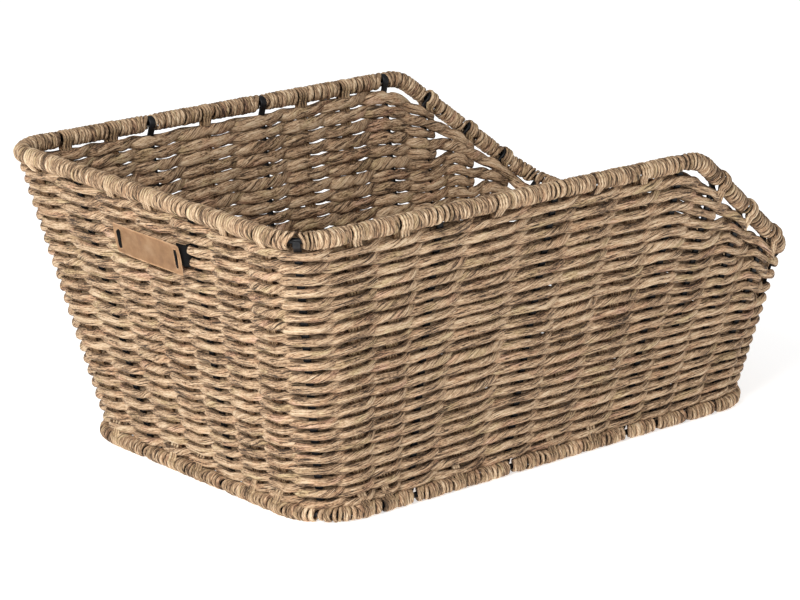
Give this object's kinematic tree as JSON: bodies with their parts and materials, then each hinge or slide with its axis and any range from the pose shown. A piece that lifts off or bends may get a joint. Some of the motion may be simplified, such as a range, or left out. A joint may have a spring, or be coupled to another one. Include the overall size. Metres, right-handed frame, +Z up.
{
  "type": "bicycle basket",
  "caption": "Woven rear carrier basket, high at the rear and sides and sloping down to a low front, with a wrapped rim and base ring round steel wires and a leather tab.",
  "frame": {"origin": "on the ground, under the middle of the rim's outline", "axes": "+Z up, +X towards the low front wall that faces the saddle, -X towards the high rear wall with the leather tab, long sides along X"},
  "size_m": [0.4619, 0.326, 0.2062],
  "materials": {
    "woven_cord": "matte twisted plant-fibre cord, tan with pinkish and olive strands",
    "stake_cord": "matte brown cord bundle",
    "black_steel": "satin black coating",
    "tan_leather": "smooth tan leather with pale cut edges",
    "black_strap": "matte black webbing"
  },
  "bodies": {
    "root": {"rim_wire": "black_steel", "rim_wrap": "woven_cord", "base_wire": "black_steel", "base_wrap": "woven_cord", "cross_stake_01": "stake_cord", "cross_stake_02": "stake_cord", "cross_stake_03": "black_steel", "cross_stake_04": "stake_cord", "cross_stake_05": "black_steel", "cross_stake_06": "stake_cord", "cross_stake_07": "stake_cord", "cross_stake_08": "black_steel", "cross_stake_09": "black_steel", "cross_stake_10": "black_steel", "cross_stake_11": "black_steel", "long_stake_01": "stake_cord", "long_stake_02": "stake_cord", "long_stake_03": "black_steel", "long_stake_04": "stake_cord", "long_stake_05": "stake_cord", "long_stake_06": "black_steel", "long_stake_07": "stake_cord", "corner_stake_01": "black_steel", "corner_stake_02": "black_steel", "corner_stake_03": "black_steel", "corner_stake_04": "black_steel", "weaver_row_01": "woven_cord", "weaver_row_02": "woven_cord", "weaver_row_03": "woven_cord", "weaver_row_04": "woven_cord", "weaver_row_05": "woven_cord", "weaver_row_06": "woven_cord", "weaver_row_07": "woven_cord", "weaver_row_08": "woven_cord", "weaver_row_09": "woven_cord", "weaver_row_10": "woven_cord", "weaver_row_11": "woven_cord", "weaver_row_12": "woven_cord", "weaver_row_13": "woven_cord", "weaver_row_14": "woven_cord", "weaver_row_15": "woven_cord", "weaver_row_16": "woven_cord", "weaver_row_17": "woven_cord", "weaver_row_18": "woven_cord", "weaver_row_19": "woven_cord", "weaver_row_20": "woven_cord", "weaver_row_21": "woven_cord", "weaver_row_22": "woven_cord", "floor_strip_01": "woven_cord", "floor_strip_02": "woven_cord", "floor_strip_03": "woven_cord", "floor_strip_04": "woven_cord", "floor_strip_05": "woven_cord", "floor_strip_06": "woven_cord", "floor_strip_07": "woven_cord", "floor_strip_08": "woven_cord", "label_tab": "tan_leather", "label_strap": "black_strap"}
  },
  "joints": []
}
